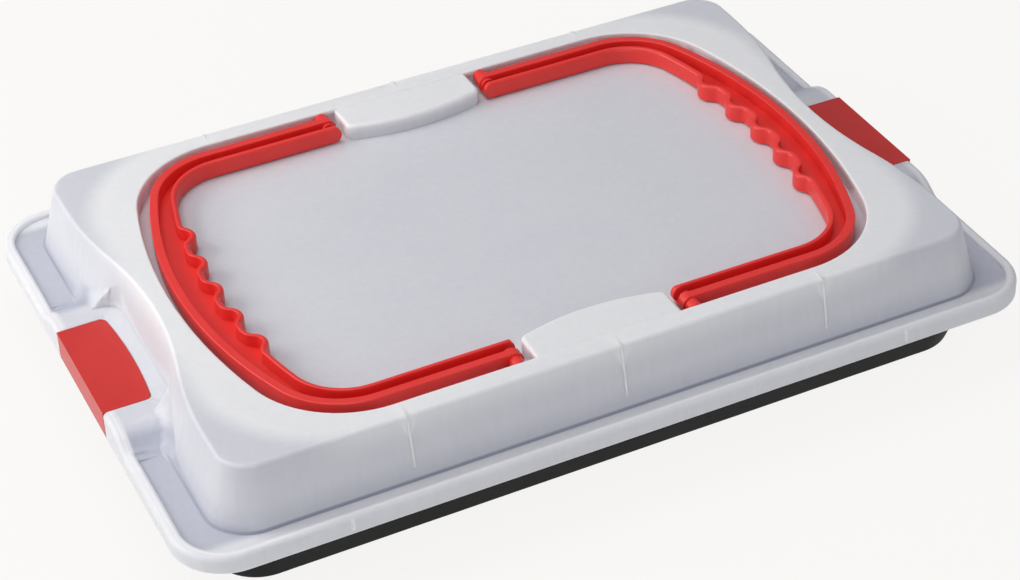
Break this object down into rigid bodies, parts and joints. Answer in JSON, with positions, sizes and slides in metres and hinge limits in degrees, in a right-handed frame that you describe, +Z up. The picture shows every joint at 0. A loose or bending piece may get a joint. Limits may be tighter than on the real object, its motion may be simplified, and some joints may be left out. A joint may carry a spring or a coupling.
{
  "type": "cake pan with lid",
  "caption": "Rectangular metal cake pan with a frosted carrying lid, folding loop handles let into its top and fold-over end latches.",
  "frame": {"origin": "middle of the pan's underside, on the surface that the pan stands on", "axes": "+X along the pan's length, +Y across it, +Z up"},
  "size_m": [0.435, 0.297, 0.0712],
  "materials": {
    "coated_steel": "dark non-stick coating with a soft sheen",
    "frosted_plastic": "frosted, lets light through",
    "red_plastic": "satin to gloss"
  },
  "bodies": {
    "pan": {"pan": "coated_steel"},
    "lid": {"lid": "frosted_plastic"},
    "handle_left": {"handle_left": "red_plastic"},
    "handle_right": {"handle_right": "red_plastic"},
    "latch_left": {"latch_left": "red_plastic"},
    "latch_right": {"latch_right": "red_plastic"}
  },
  "joints": [
    {"name": "lid_lift", "type": "slide", "parent": "pan", "child": "lid", "axis": [0, 0, 1], "range_m": [0, 0.14]},
    {"name": "handle_left_fold", "type": "hinge", "parent": "lid", "child": "handle_left", "pos_m": [-0.0455, 0, 0.06655], "axis": [0, 1, 0], "range_deg": [0, 108]},
    {"name": "handle_right_fold", "type": "hinge", "parent": "lid", "child": "handle_right", "pos_m": [0.0455, 0, 0.06655], "axis": [0, -1, 0], "range_deg": [0, 108]},
    {"name": "latch_left_swing", "type": "hinge", "parent": "lid", "child": "latch_left", "pos_m": [-0.1968, 0, 0.0454], "axis": [0, 1, 0], "range_deg": [0, 105]},
    {"name": "latch_right_swing", "type": "hinge", "parent": "lid", "child": "latch_right", "pos_m": [0.1968, 0, 0.0454], "axis": [0, -1, 0], "range_deg": [0, 105]}
  ]
}
